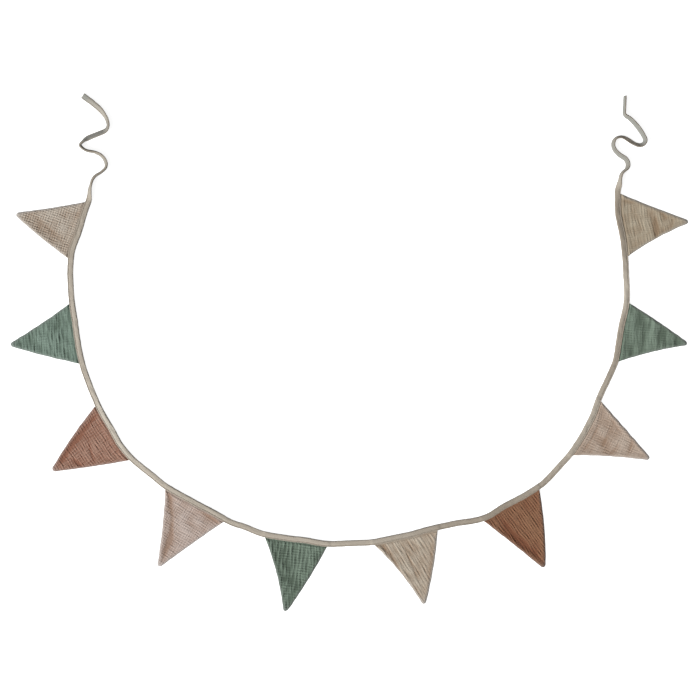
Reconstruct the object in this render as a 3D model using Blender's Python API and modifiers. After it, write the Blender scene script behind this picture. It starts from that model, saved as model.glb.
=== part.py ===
"""Fabric bunting: ten padded muslin pennants whose tops are held in one folded tape, its ends left as ties.

The bunting lies on a surface at Z = 0, laid out in a deep curve that is open towards +Y.
X runs across the curve, and the origin is under the middle of the bunting's box.
"""

from collections import namedtuple
from math import atan, ceil, cos, degrees, exp, pi, radians, sin

import bmesh
import bpy
from mathutils import Vector

MM = 0.001

# Tape: a strip folded in half along its length, with the fold on the inside of the curve
TAPE_WIDTH = 12.6 * MM
TAPE_PLY = 1.0 * MM
CLEARANCE = 0.3 * MM
SEAM_THICKNESS = 1.0 * MM  # a flag's layers where the stitching presses them flat in the tape
BARE_GAP = CLEARANCE  # between the tape's two sides where it holds nothing
HOLDING_GAP = SEAM_THICKNESS + 2 * CLEARANCE
OPENING_LENGTH = 8 * MM  # of tape in which one gap grows into the other
OPENING_MARGIN = 1 * MM
LONGEST_STEP = 15 * MM
SHARPEST_STEP = 24  # degrees of bend or of twist between two sections
TAPE_FACES = 3  # from the free edge to the fold on each side, and round the fold

# Flags: two layers sewn together and turned, so the edge is full and the middle is thinner
HELD_DEPTH = 8 * MM
EDGE_THICKNESS = 1.2 * MM
MIDDLE_THICKNESS = 2.2 * MM
SEAM_ALLOWANCE_RISE = 0.4 * MM
SEAM_ALLOWANCE_WIDTH = 9 * MM
EDGE_ROUNDING = 1.8 * MM
TIP_WIDTH = 7.5 * MM
TIP_ROUNDING = 3.5 * MM
DROP_LENGTH = 14 * MM  # over which a flag comes down from the tape to the surface
FLAG_ROWS = 9
FLAG_COLUMNS = 8

# The tape's route, from the free end of the left tie. Each row is one bend, with the tape's length in mm
# along it, the compass heading at its end in degrees from +X, and how far the tape is turned over there:
# 0 is flat, and -90 is on edge with the fold up.
TIE_END = Vector((-560, 539)) * MM
TIE_END_HEADING = -36
TIE_END_TWIST = -12

Bend = namedtuple("Bend", "length heading twist")

LEFT_TIE = (
    Bend(39, -40, -28),
    Bend(29, -61, -54),
    Bend(16, -88, -64),
    Bend(20, -160, -38),
    Bend(33, -157, -34),
    Bend(20, -130, -78),
    Bend(5, -55, -104),
    Bend(20, -10, -98),
    Bend(22, -25, -68),
    Bend(24, -72, -58),
    Bend(17, -135, -76),
    Bend(17, -152, -80),
    Bend(20, -106, -74),
    Bend(24, -90, -48),
    Bend(22, -114, 0),
)

RIGHT_TIE = (
    Bend(10, 79, 10),
    Bend(24, 83, 66),
    Bend(17, 36, 76),
    Bend(13, 83, 44),
    Bend(20, 151, 44),
    Bend(21, 132, 52),
    Bend(21, 76, 62),
    Bend(15, 13, 82),
    Bend(19, -37, 56),
    Bend(24, -21, 52),
    Bend(10, 16, 54),
    Bend(18, 116, 52),
    Bend(23, 126, 46),
    Bend(25, 137, 50),
    Bend(11, 153, 58),
    Bend(11, 86, 74),
    Bend(35, 88, 78),
)

# Each flag in turn from the left tie. Lengths are in mm: the flag's width along the tape, the bare tape
# after it, how far the tip reaches from the tape, how far the tip leans along it from the middle, and how
# far the first and last sides bow outwards. Headings are the tape's at the end of the flag and of the bare
# stretch.
Flag = namedtuple("Flag", "cloth width heading bare bare_heading reach lean bow_first bow_last")

FLAGS = (
    Flag("oatmeal", 122, -98.7, 94, -82.1, 130.7, 5, -1.4, 2.5),
    Flag("sage", 127, -77, 94, -65.4, 135.1, 0.9, -2.2, 1.8),
    Flag("terracotta", 133, -47.8, 96, -30.2, 147, -0.7, 3.3, 1.6),
    Flag("blush", 140, -28.5, 91, -11.9, 147.5, -3.5, -2.5, -1),
    Flag("fern", 131, -6, 98, 11.8, 146.8, -1.9, -5.7, 3.1),
    Flag("sand", 136, 11.1, 98, 18.9, 143.8, 6, -6.5, 3.6),
    Flag("brick", 132, 36.8, 99, 55.1, 146, -4.4, -0.6, 4.4),
    Flag("biscuit", 127, 66.8, 90, 72.9, 145.6, 3.8, -3.2, 0.3),
    Flag("lichen", 124, 83.9, 97, 99.6, 134.6, 0.6, -3.9, 1.6),
    Flag("wheat", 133, 92, 0, 92, 134, -8.3, -4.6, -1.4),
)

# The tape sways a little off those arcs, as it was laid by hand. Each pair is a distance along it in mm and
# how far it lies to the outer side of them there.
SWAYS = (
    (268, 0), (308, 1.2), (385, -2.4), (443, 2.2), (515, -1.3), (575, -1.2), (663, 1.3), (725, -1.6),
    (815, -2.9), (884, 1.5), (943, -2), (1010, 1.4), (1110, -0.3), (1138, 0.5), (1180, -2.3), (1228, 1.1),
    (1303, -1.6), (1343, -0.4), (1408, -2.6), (1460, 1.4), (1512, 1.3), (1600, -2.4), (1620, -2.4), (1684, 4.2),
    (1748, -2.5), (1826, 0.3), (1880, -1.2), (1952, 1.6), (2008, 0.4), (2050, -3.3), (2134, 2.7), (2206, -3.1),
    (2250, 0.4), (2320, -1.2), (2392, 1.7), (2456, -3), (2492, -1.6), (2540, 0),
)

# Main folds of the padded flags: flag number, the fold's middle (mm along the tape from the flag's middle,
# mm out from the tape), its aim in degrees from the tape, and its length, width and rise in mm
Fold = namedtuple("Fold", "flag along out aim length width rise")

FOLDS = (
    Fold(1, 16, 72, -70, 40, 11, -0.6),
    Fold(1, 30, 40, -64, 46, 12, -0.5),
    Fold(1, -14, 56, -72, 60, 14, 0.5),
    Fold(2, -22, 28, 3, 44, 10, -0.6),
    Fold(2, 6, 62, -4, 60, 13, 0.5),
    Fold(2, 4, 91, -11, 30, 11, -0.5),
    Fold(3, -30, 66, -86, 46, 11, -0.7),
    Fold(3, 8, 50, -84, 60, 14, 0.5),
    Fold(3, -15, 108, 82, 24, 9, -0.5),
    Fold(4, -44, 22, 60, 40, 10, -0.6),
    Fold(4, -10, 96, 72, 40, 11, -0.5),
    Fold(4, 38, 10, 5, 50, 9, -0.4),
    Fold(4, 4, 52, 40, 60, 15, 0.5),
    Fold(5, 2, 84, 38, 46, 11, -0.7),
    Fold(5, -37, 38, 76, 46, 10, -0.5),
    Fold(5, 18, 50, 86, 60, 13, 0.5),
    Fold(6, -18, 50, 68, 90, 12, 0.6),
    Fold(6, 12, 57, 78, 90, 12, -0.5),
    Fold(6, -38, 26, 62, 44, 10, -0.5),
    Fold(7, -36, 48, 72, 50, 10, -0.7),
    Fold(7, -26, 86, 66, 42, 10, -0.6),
    Fold(7, 12, 58, 80, 90, 14, 0.6),
    Fold(8, -3, 44, 162, 56, 12, -0.5),
    Fold(8, 4, 78, 158, 40, 12, 0.5),
    Fold(9, 8, 63, 171, 60, 11, 0.7),
    Fold(9, 18, 36, 164, 44, 11, -0.6),
    Fold(9, 10, 82, 165, 42, 11, -0.6),
    Fold(10, -16, 71, 163, 34, 11, -0.6),
    Fold(10, -9, 40, 174, 60, 13, 0.5),
)

# Base colour of each cloth, as linear red, green and blue
CLOTHS = {
    "tape": (0.40, 0.36, 0.31),
    "oatmeal": (0.38, 0.32, 0.26),
    "sage": (0.16, 0.22, 0.18),
    "terracotta": (0.31, 0.17, 0.12),
    "blush": (0.43, 0.34, 0.29),
    "fern": (0.13, 0.17, 0.13),
    "sand": (0.38, 0.32, 0.26),
    "brick": (0.21, 0.105, 0.063),
    "biscuit": (0.38, 0.295, 0.235),
    "lichen": (0.14, 0.19, 0.15),
    "wheat": (0.34, 0.28, 0.21),
}
CLOTH_ROUGHNESS = 0.95


class Route:
    """The tape's centre line: arcs that follow on from each other, with the sways off them and the twist."""

    def __init__(self, start, heading, twist):
        self.lengths = [0.0]
        self.places = [start]
        self.headings = [radians(heading)]
        self.twists = [radians(twist)]

    def add(self, length, heading, twist):
        """Runs the tape on along one arc of this length, and returns the distance at its end."""
        end = self.lengths[-1] + length
        place = arc_end(self.places[-1], self.headings[-1], radians(heading), length)
        self.lengths.append(end)
        self.places.append(place)
        self.headings.append(radians(heading))
        self.twists.append(radians(twist))
        return end

    def sway(self, distance):
        """How far the tape lies off its arcs at a distance along it, and how fast that grows there."""
        for (near, first), (far, last) in zip(SWAYS, SWAYS[1:]):
            share = (distance - near * MM) / ((far - near) * MM)
            if 0 <= share <= 1:
                growth = 6 * share * (1 - share) * (last - first) / (far - near)
                return blend(first, last, ease(share)) * MM, growth
        return 0.0, 0.0

    def at(self, distance):
        """The place, heading and twist at a distance along the tape."""
        arc = 0
        while arc < len(self.lengths) - 2 and distance > self.lengths[arc + 1]:
            arc += 1
        length = self.lengths[arc + 1] - self.lengths[arc]
        share = (distance - self.lengths[arc]) / length
        heading = blend(self.headings[arc], self.headings[arc + 1], share)
        twist = blend(self.twists[arc], self.twists[arc + 1], ease(share))
        place = arc_end(self.places[arc], self.headings[arc], heading, distance - self.lengths[arc])
        sway, growth = self.sway(distance)
        place += Vector((sin(heading), -cos(heading))) * sway
        return place, heading - atan(growth), twist

    def outwards(self, distance, offset):
        """The point this far to the outer side of the centre line."""
        place, heading, _ = self.at(distance)
        return place + Vector((sin(heading), -cos(heading))) * offset


def blend(first, last, share):
    return first + (last - first) * share


def ease(share):
    """Turns an even run from 0 to 1 into one that starts and ends gently."""
    share = min(max(share, 0.0), 1.0)
    return share * share * (3 - 2 * share)


def arc_end(start, heading, end_heading, length):
    """Where an arc ends that leaves start at one heading and arrives at another."""
    half_turn = (end_heading - heading) / 2
    chord = length * (sin(half_turn) / half_turn if half_turn else 1.0)
    middle_heading = heading + half_turn
    return start + Vector((cos(middle_heading), sin(middle_heading))) * chord


def cloth_material(name):
    material = bpy.data.materials.new(name)
    material.use_nodes = True
    shader = material.node_tree.nodes["Principled BSDF"]
    shader.inputs["Base Color"].default_value = (*CLOTHS[name], 1.0)
    shader.inputs["Roughness"].default_value = CLOTH_ROUGHNESS
    shader.inputs["Metallic"].default_value = 0.0
    return material


def cloth_grid(rows, columns, place, thickness=None):
    """A grid of cloth with these numbers of faces, each corner put where place(row, column) says.

    With thickness(row, column), the grid becomes the back of a body that stands that high over it.
    """
    grid = bmesh.new()
    bmesh.ops.create_grid(grid, x_segments=columns, y_segments=rows, size=1)
    depth = grid.verts.layers.float.new("depth")
    for corner in grid.verts:
        column = round((corner.co.x + 1) / 2 * columns)
        row = round((corner.co.y + 1) / 2 * rows)
        corner.co = place(row, column)
        corner[depth] = thickness(row, column) if thickness else 0.0
    if thickness:
        raised = bmesh.ops.extrude_face_region(grid, geom=grid.faces[:])["geom"]
        for corner in raised:
            if isinstance(corner, bmesh.types.BMVert):
                corner.co.z += corner[depth]
    return grid


def add_piece(name, grid, cloth, collection):
    """Makes the grid an object of its own, smooth but for its rims."""
    bmesh.ops.recalc_face_normals(grid, faces=grid.faces)
    mesh = bpy.data.meshes.new(name)
    grid.to_mesh(mesh)
    grid.free()
    mesh.materials.append(cloth_material(cloth))
    mesh.shade_smooth()
    mesh.set_sharp_from_angle(angle=radians(60))
    piece = bpy.data.objects.new(name, mesh)
    collection.objects.link(piece)
    return piece


def lay_route():
    """Runs the tape from one free end to the other. Returns the route and where each flag starts and ends."""
    route = Route(TIE_END, TIE_END_HEADING, TIE_END_TWIST)
    spans = []
    for bend in LEFT_TIE:
        route.add(bend.length * MM, bend.heading, bend.twist)
    for flag in FLAGS:
        start = route.lengths[-1]
        spans.append((start, route.add(flag.width * MM, flag.heading, 0)))
        if flag.bare:
            route.add(flag.bare * MM, flag.bare_heading, 0)
    for bend in RIGHT_TIE:
        route.add(bend.length * MM, bend.heading, bend.twist)
    return route, spans


def tape_stations(route, spans):
    """The distances along the tape at which it gets a section."""
    stations = []
    for arc in range(len(route.lengths) - 1):
        length = route.lengths[arc + 1] - route.lengths[arc]
        bend = abs(degrees(route.headings[arc + 1] - route.headings[arc]))
        twist = abs(degrees(route.twists[arc + 1] - route.twists[arc]))
        steps = max(1, ceil(length / LONGEST_STEP), ceil(max(bend, twist) / SHARPEST_STEP))
        stations += [route.lengths[arc] + length * step / steps for step in range(steps)]
    stations.append(route.lengths[-1])
    for start, end in spans:
        near, far = OPENING_MARGIN, OPENING_MARGIN + OPENING_LENGTH
        stations += [start - far, start - near, end + near, end + far]
    return sorted(stations)


def tape_gap(distance, spans):
    """The gap between the tape's two sides, which opens for each flag."""
    away = min(max(start - distance, distance - end, 0.0) for start, end in spans)
    return blend(HOLDING_GAP, BARE_GAP, ease((away - OPENING_MARGIN) / OPENING_LENGTH))


def add_tape(route, spans, collection):
    """The folded strip: an open sheet bent double, thickened to its ply."""
    stations = tape_stations(route, spans)
    columns = 3 * TAPE_FACES

    def place(row, column):
        centre, heading, twist = route.at(stations[row])
        gap = tape_gap(stations[row], spans)
        radius = (gap + TAPE_PLY) / 2
        fold_centre = -TAPE_WIDTH / 2 + TAPE_PLY / 2 + radius
        flat = TAPE_WIDTH / 2 - fold_centre
        if column < TAPE_FACES:
            across = TAPE_WIDTH / 2 - flat * column / TAPE_FACES
            height = radius
        elif column <= 2 * TAPE_FACES:
            turn = pi * (column - TAPE_FACES) / TAPE_FACES
            across = fold_centre - radius * sin(turn)
            height = radius * cos(turn)
        else:
            across = fold_centre + flat * (column - 2 * TAPE_FACES) / TAPE_FACES
            height = -radius
        half_thickness = radius + TAPE_PLY / 2
        lift = abs(sin(twist)) * TAPE_WIDTH / 2 + abs(cos(twist)) * half_thickness
        out = across * cos(twist) - height * sin(twist)
        up = across * sin(twist) + height * cos(twist)
        return Vector((centre.x + sin(heading) * out, centre.y - cos(heading) * out, lift + up))

    tape = add_piece("tape", cloth_grid(len(stations) - 1, columns, place), "tape", collection)
    ply = tape.modifiers.new("ply", "SOLIDIFY")
    ply.thickness = TAPE_PLY
    ply.offset = 0.0
    ply.use_even_offset = True
    return tape


def fold_rise(number, along, out):
    """How far the main folds raise or sink a flag's top at a point of the flag."""
    rise = 0.0
    for fold in FOLDS:
        if fold.flag == number:
            away_along, away_out = along / MM - fold.along, out / MM - fold.out
            aim = radians(fold.aim)
            with_fold = away_along * cos(aim) + away_out * sin(aim)
            over_fold = away_out * cos(aim) - away_along * sin(aim)
            spread = (over_fold / fold.width) ** 2 + (with_fold / (fold.length / 2)) ** 2
            rise += fold.rise * MM * exp(-spread)
    return rise


def add_flag(number, flag, route, span, collection):
    """One pennant, from the edge held in the tape to its blunt tip, with a flat back on the surface."""
    start, end = span
    first = route.outwards(start, TAPE_WIDTH / 2)
    last = route.outwards(end, TAPE_WIDTH / 2)
    middle = (first + last) / 2
    width = (last - first).length
    along = (last - first).normalized()
    out = Vector((along.y, -along.x))
    reach = flag.reach * MM
    tip = flag.lean * MM

    just_out = 0.6 * MM
    rows = [-HELD_DEPTH, just_out, 6 * MM, DROP_LENGTH]
    body = reach - TIP_ROUNDING - DROP_LENGTH
    rows += [DROP_LENGTH + body * row / FLAG_ROWS for row in range(1, FLAG_ROWS + 1)]
    rows += [reach - TIP_ROUNDING * 0.4, reach]

    def sides(distance):
        """The places of the flag's two sides along the tape, at a distance from the tape."""
        share = max(distance, 0.0) / reach
        bow = 4 * share * (1 - share) * MM
        left = blend(-width / 2, tip - TIP_WIDTH / 2, share) - flag.bow_first * bow
        right = blend(width / 2, tip + TIP_WIDTH / 2, share) + flag.bow_last * bow
        past = max(0.0, distance - (reach - TIP_ROUNDING)) / TIP_ROUNDING
        pinch = 0.5 * (1 - (1 - 0.75 * past**2) ** 0.5) * (right - left)
        return left + pinch, right - pinch

    def across(row, column):
        """How far along the tape a corner lies, with a narrow face at each side for the rounded edge."""
        left, right = sides(rows[row])
        edge = min(EDGE_ROUNDING, (right - left) / 5)
        inner = [blend(left + edge, right - edge, step / FLAG_COLUMNS) for step in range(FLAG_COLUMNS + 1)]
        return [left, *inner, right][column]

    def plan(row, column):
        """Where a corner lies on the surface."""
        share = max(0.0, rows[row]) / reach
        left, right = sides(rows[row])
        place = across(row, column)
        distance = blend(start, end, (place - left) / (right - left))
        on_tape = route.outwards(distance, TAPE_WIDTH / 2 + min(rows[row], 0.0))
        sag = (on_tape - middle).dot(out)
        if rows[row] <= 0:
            return on_tape
        return middle + along * place + out * (blend(sag, 0, share) + rows[row])

    def underside(row):
        """The flag comes out of the tape above the surface and drops to it."""
        return (TAPE_PLY + CLEARANCE) * (1 - ease((rows[row] - just_out) / (DROP_LENGTH - just_out)))

    def thickness(row, column):
        if rows[row] <= just_out:
            return SEAM_THICKNESS
        left, right = sides(rows[row])
        place = across(row, column)
        from_edge = min(place - left, right - place, reach - rows[row])
        if from_edge <= 0:
            return EDGE_THICKNESS
        full = MIDDLE_THICKNESS + SEAM_ALLOWANCE_RISE * exp(-((from_edge / SEAM_ALLOWANCE_WIDTH) ** 2))
        full += fold_rise(number, place, rows[row]) * ease(from_edge / SEAM_ALLOWANCE_WIDTH)
        return blend(SEAM_THICKNESS, full, ease((rows[row] - just_out) / (DROP_LENGTH / 2)))

    def back(row, column):
        corner = plan(row, column)
        return Vector((corner.x, corner.y, underside(row)))

    grid = cloth_grid(len(rows) - 1, FLAG_COLUMNS + 2, back, thickness)
    return add_piece(f"flag_{number:02d}", grid, flag.cloth, collection)


for old in list(bpy.data.objects):
    bpy.data.objects.remove(old, do_unlink=True)

bunting = bpy.data.collections.new("fabric_bunting")
bpy.context.scene.collection.children.link(bunting)
tape_route, flag_spans = lay_route()
add_tape(tape_route, flag_spans, bunting)
for flag_number, (one_flag, flag_span) in enumerate(zip(FLAGS, flag_spans), start=1):
    add_flag(flag_number, one_flag, tape_route, flag_span, bunting)
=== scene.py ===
"""Fabric bunting: ten padded muslin pennants in a folded tape, laid out in a deep curve.

Lengths here are in millimetres, and become metres where a mesh or a light is made.
"""

from collections import namedtuple
from math import cos, pi, radians, sin, sqrt

import bpy
import numpy as np
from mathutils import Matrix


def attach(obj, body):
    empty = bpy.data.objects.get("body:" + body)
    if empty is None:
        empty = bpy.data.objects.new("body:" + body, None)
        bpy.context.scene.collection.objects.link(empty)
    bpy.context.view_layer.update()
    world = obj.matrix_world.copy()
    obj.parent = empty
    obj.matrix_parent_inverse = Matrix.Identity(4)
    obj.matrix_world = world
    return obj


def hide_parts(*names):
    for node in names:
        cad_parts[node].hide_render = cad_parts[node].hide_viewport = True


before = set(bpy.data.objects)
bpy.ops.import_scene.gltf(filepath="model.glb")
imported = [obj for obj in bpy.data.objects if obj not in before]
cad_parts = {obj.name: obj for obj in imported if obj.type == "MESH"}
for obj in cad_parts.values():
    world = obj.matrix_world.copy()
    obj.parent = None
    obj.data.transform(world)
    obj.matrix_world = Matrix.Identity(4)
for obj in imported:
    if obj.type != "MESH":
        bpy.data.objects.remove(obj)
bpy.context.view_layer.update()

# Camera: straight above the curve, as the bunting is laid out to be seen as a whole.
# The photograph's frame is 1.47 m wide here, and its middle lies just off the bunting's own.
MM = 0.001
VIEW_WIDTH = 1470
VIEW_MIDDLE = (1.1, 4.7)
CAMERA_HEIGHT = 7000
SENSOR_WIDTH = 36

camera_data = bpy.data.cameras.new("overhead_camera")
camera_data.sensor_width = SENSOR_WIDTH
camera_data.lens = SENSOR_WIDTH * CAMERA_HEIGHT / VIEW_WIDTH
camera = bpy.data.objects.new("overhead_camera", camera_data)
camera.location = (VIEW_MIDDLE[0] * MM, VIEW_MIDDLE[1] * MM, CAMERA_HEIGHT * MM)
bpy.context.scene.collection.objects.link(camera)
bpy.context.scene.camera = camera

# Tape: one cotton strip, cut on the bias and folded in half along its length, so the fold lies on the
# inside of the curve. It opens just enough to hold each flag's top, and its bare ends are the ties,
# which stand half on edge where they turn.
TAPE_WIDTH = 12.6
TAPE_PLY = 1.0
CLEARANCE = 0.3
SEAM_THICKNESS = 1.0
BARE_GAP = CLEARANCE
HOLDING_GAP = SEAM_THICKNESS + 2 * CLEARANCE
OPENING_LENGTH = 8
OPENING_MARGIN = 1
TAPE_STEP = 2.0  # between two sections of the strip
TAPE_PUFF = 0.5  # how far the upper ply stands up between the fold and the stitching
PUFF_LEAN = 0.75  # below 1, its fullest place is nearer the fold
TAPE_LIMP = 0.3  # how far the puff varies along it
LIMP_GAP = 45
TAPE_UNEVEN = 0.18  # how deep its small dents are
DENT_GAP = 9
DENT_STRETCH = 2.2  # how many times longer than wide they are
DENT_START = 2  # how far from the fold they reach their full depth
TAPE_WAVER = 0.25  # how far its edges stray from a true line
WAVER_GAP = 60
SMALL_WAVER = 0.4  # the share of smaller bends in that
SMALL_WAVER_GAP = 14
SEAM_INSET = 2.4  # from the open edge to the line of stitching
SEAM_DEPTH = 0.6
# Painted shade in the groove of the stitching, over its real depth
SEAM_SHADE = 0.5
SEAM_SPREAD = 0.85
PUCKER_LENGTH = 7.0
PUCKER_DEPTH = 0.12
PUCKER_WIDTH = 3  # to either side of the stitching
PUCKER_STRAY = 3  # from an even spacing
PUCKER_STRAY_GAP = 40
TAPE_COLOUR = (0.54, 0.486, 0.408)
# The colour that painted shade takes the tape toward
TAPE_SHADE = (0.25, 0.205, 0.155)
# The grey that painted shade takes the ties toward
TAPE_SHADE_GREY = (0.285, 0.287, 0.26)
EDGE_SHADE = 0.3  # painted shade along both its edges
EDGE_SHADE_WIDTH = 1.1
TIE_SHADE_GREYING = 0.95  # how far painted shade takes the ties' colour to that grey, for a shade level of 1
TIE_EDGE_SHADE = 0.6  # and how much more painted shade their edges have than the rest's
TIE_PUFF = 1.6  # how far each ply of a tie on edge stands out
TIE_PUFF_LEAN = 0.6  # below 1, its fullest place is nearer the fold
TIE_CHANGE = 50
UNDERSIDE_PALER = 0.7  # how much less painted shade the ply that faces down has
UNDERSIDE_TURN = 3  # how soon a ply counts as facing down as the tape turns over
TAPE_THREAD = 0.55
TAPE_BIAS = 45
TAPE_WEAVE = 0.06
COTTON_ROUGHNESS = 0.95
COTTON_SHEEN = 0.25
PAINTED_SHADE_DEPTH = 0.85  # how far full painted shade takes a cloth's colour to its shade colour
DYE_PATCHES = 0.18
DYE_PATCH_GAP = 28
THREAD_STREAKS = 0.12
THREAD_STREAK_GAP = 2.2
DYE_LIGHTENS = 0.15  # how far patches and streaks also lighten a cloth
SLUB_SCALE = 0.35
SLUB_SHIFT = 0.8  # how far thick and thin places push the threads aside, in threads
THREAD_RISE = 0.7
THREAD_CROSSING = 0.3  # how far a thread rises or dips where another crosses it

# The tape's route from the free end of the left tie. Each row is one bend: the tape's length along it, and
# at its end the compass heading from +X and how far the tape is turned over, with -90 on edge, fold up.
TIE_END = (-560, 539)
TIE_END_HEADING = -36
TIE_END_TWIST = -12

Bend = namedtuple("Bend", "length heading twist")

LEFT_TIE = (
    Bend(39, -40, -28),
    Bend(29, -61, -54),
    Bend(16, -88, -64),
    Bend(20, -160, -38),
    Bend(33, -157, -34),
    Bend(20, -130, -78),
    Bend(5, -55, -104),
    Bend(20, -10, -98),
    Bend(22, -25, -68),
    Bend(24, -72, -58),
    Bend(17, -135, -76),
    Bend(17, -152, -80),
    Bend(20, -106, -74),
    Bend(24, -90, -48),
    Bend(22, -114, 0),
)

RIGHT_TIE = (
    Bend(10, 79, 10),
    Bend(24, 83, 66),
    Bend(17, 36, 76),
    Bend(13, 83, 44),
    Bend(20, 151, 44),
    Bend(21, 132, 52),
    Bend(21, 76, 62),
    Bend(15, 13, 82),
    Bend(19, -37, 56),
    Bend(24, -21, 52),
    Bend(10, 16, 54),
    Bend(18, 116, 52),
    Bend(23, 126, 46),
    Bend(25, 137, 50),
    Bend(11, 153, 58),
    Bend(11, 86, 74),
    Bend(35, 88, 78),
)

# Each flag in turn from the left tie: its width along the tape, the bare tape after it, how far the tip
# reaches from the tape and leans along it, how far its sides bow outwards, and the tape's headings there.
Flag = namedtuple("Flag", "cloth width heading bare bare_heading reach lean bow_first bow_last")

FLAGS = (
    Flag("oatmeal", 122, -98.7, 94, -82.1, 130.7, 5, -1.4, 2.5),
    Flag("sage", 127, -77, 94, -65.4, 135.1, 0.9, -2.2, 1.8),
    Flag("terracotta", 133, -47.8, 96, -30.2, 147, -0.7, 3.3, 1.6),
    Flag("blush", 140, -28.5, 91, -11.9, 147.5, -3.5, -2.5, -1),
    Flag("fern", 131, -6, 98, 11.8, 146.8, -1.9, -5.7, 3.1),
    Flag("sand", 136, 11.1, 98, 18.9, 143.8, 6, -6.5, 3.6),
    Flag("brick", 132, 36.8, 99, 55.1, 146, -4.4, -0.6, 4.4),
    Flag("biscuit", 127, 66.8, 90, 72.9, 145.6, 3.8, -3.2, 0.3),
    Flag("lichen", 124, 83.9, 97, 99.6, 134.6, 0.6, -3.9, 1.6),
    Flag("wheat", 133, 92, 0, 92, 134, -8.3, -4.6, -1.4),
)

# How far the tape sways off those arcs to their outer side, at distances along it
SWAYS = (
    (268, 0), (308, 1.2), (385, -2.4), (443, 2.2), (515, -1.3), (575, -1.2), (663, 1.3),
    (725, -1.6), (815, -2.9), (884, 1.5), (943, -2), (1010, 1.4), (1110, -0.3), (1138, 0.5),
    (1180, -2.3), (1228, 1.1), (1303, -1.6), (1343, -0.4), (1408, -2.6), (1460, 1.4), (1512, 1.3),
    (1600, -2.4), (1620, -2.4), (1684, 4.2), (1748, -2.5), (1826, 0.3), (1880, -1.2), (1952, 1.6),
    (2008, 0.4), (2050, -3.3), (2134, 2.7), (2206, -3.1), (2250, 0.4), (2320, -1.2), (2392, 1.7),
    (2456, -3), (2492, -1.6), (2540, 0),
)

# Painted shade on the tape at distances along it: 0 is its own colour, and 1 or more nearly its shade
TAPE_PAINTED_SHADE = (
    (0, 1.2), (9, 1.2), (15, 0.6), (60, 0.4), (85, 0.7), (120, 0.9), (165, 1.0), (200, 0.4),
    (250, 0.55), (300, 0.45), (345, 0.55), (450, 0.5), (500, 0.3), (700, 0.3), (760, 0.0),
    (860, 0.0), (960, 0.15), (1080, 0.4), (1290, 0.35), (1500, 0.5), (1730, 0.9), (1880, 0.5),
    (2050, 0.4), (2120, 0.75), (2210, 0.7), (2290, 0.1), (2370, 0.9), (2450, 1.1), (2500, 0.6),
    (2530, 0.4), (2570, 0.9), (2610, 0.8), (2640, 0.15), (2670, 0.15), (2690, 1.0), (2730, 1.1),
    (2765, 0.9), (2790, 1.2), (2810, 1.2),
)


def blend(first, last, share):
    return first + (last - first) * share


def ease(share):
    """Turns an even run from 0 to 1 into one that starts and ends gently."""
    share = np.clip(share, 0.0, 1.0)
    return share * share * (3 - 2 * share)


def arc_end(start, heading, end_heading, length):
    """Where arcs end that leave start at one heading and arrive at another."""
    half_turn = (end_heading - heading) / 2
    chord = length * np.sinc(half_turn / pi)
    middle_heading = heading + half_turn
    return start + np.stack([np.cos(middle_heading), np.sin(middle_heading)], -1) * chord[..., None]


def wander(x, y, size, seed):
    """Soft unevenness over a cloth, 1 on average either side of 0, with its hills about this far apart."""
    waves = 14
    chance = np.random.default_rng(seed)
    aims = chance.uniform(0, 2 * pi, waves)
    lengths = size * chance.uniform(0.7, 1.5, waves)
    starts = chance.uniform(0, 2 * pi, waves)
    total = 0.0
    for aim, length, start in zip(aims, lengths, starts):
        total = total + np.cos(2 * pi * (x * cos(aim) + y * sin(aim)) / length + start)
    return total / sqrt(waves / 2)


class Route:
    """The tape's centre line: arcs that follow on from each other, with the twist eased along each."""

    def __init__(self):
        self.ends = np.array([0.0])
        self.places = np.array([TIE_END], float)
        self.headings = np.radians([TIE_END_HEADING])
        self.twists = np.radians([TIE_END_TWIST])
        self.flags = []
        for bend in LEFT_TIE:
            self.add(*bend)
        for flag in FLAGS:
            start = self.ends[-1]
            self.add(flag.width, flag.heading, 0)
            self.flags.append((start, self.ends[-1]))
            if flag.bare:
                self.add(flag.bare, flag.bare_heading, 0)
        for bend in RIGHT_TIE:
            self.add(*bend)

    def add(self, length, heading, twist):
        """Runs the tape on along one arc of this length."""
        end = arc_end(self.places[-1], self.headings[-1], radians(heading), np.array(float(length)))
        self.ends = np.append(self.ends, self.ends[-1] + length)
        self.places = np.append(self.places, [end], 0)
        self.headings = np.append(self.headings, radians(heading))
        self.twists = np.append(self.twists, radians(twist))

    def sway(self, distance):
        """How far the tape lies off its arcs at distances along it, and how fast that grows there."""
        places, offsets = np.array(SWAYS, float).T
        step = np.clip(np.searchsorted(places, distance) - 1, 0, len(places) - 2)
        length = places[step + 1] - places[step]
        rise = offsets[step + 1] - offsets[step]
        share = np.clip((distance - places[step]) / length, 0, 1)
        return offsets[step] + rise * ease(share), 6 * share * (1 - share) * rise / length

    def at(self, distance):
        """The places, headings and twists at distances along the tape."""
        arc = np.clip(np.searchsorted(self.ends, distance) - 1, 0, len(self.ends) - 2)
        along = distance - self.ends[arc]
        share = along / (self.ends[arc + 1] - self.ends[arc])
        heading = blend(self.headings[arc], self.headings[arc + 1], share)
        twist = blend(self.twists[arc], self.twists[arc + 1], ease(share))
        place = arc_end(self.places[arc], self.headings[arc], heading, along)
        sway, growth = self.sway(distance)
        place = place + np.stack([np.sin(heading), -np.cos(heading)], -1) * sway[..., None]
        return place, heading - np.arctan(growth), twist

    def outwards(self, distance, offset):
        """Points this far to the outer side of the centre line."""
        place, heading, _ = self.at(distance)
        return place + np.stack([np.sin(heading), -np.cos(heading)], -1) * np.asarray(offset)[..., None]

    def gap(self, distance):
        """The gap between the tape's two plies, which opens for each flag."""
        away = np.min([np.clip(np.maximum(a - distance, distance - b), 0, None) for a, b in self.flags], 0)
        return blend(HOLDING_GAP, BARE_GAP, ease((away - OPENING_MARGIN) / OPENING_LENGTH))


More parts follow.
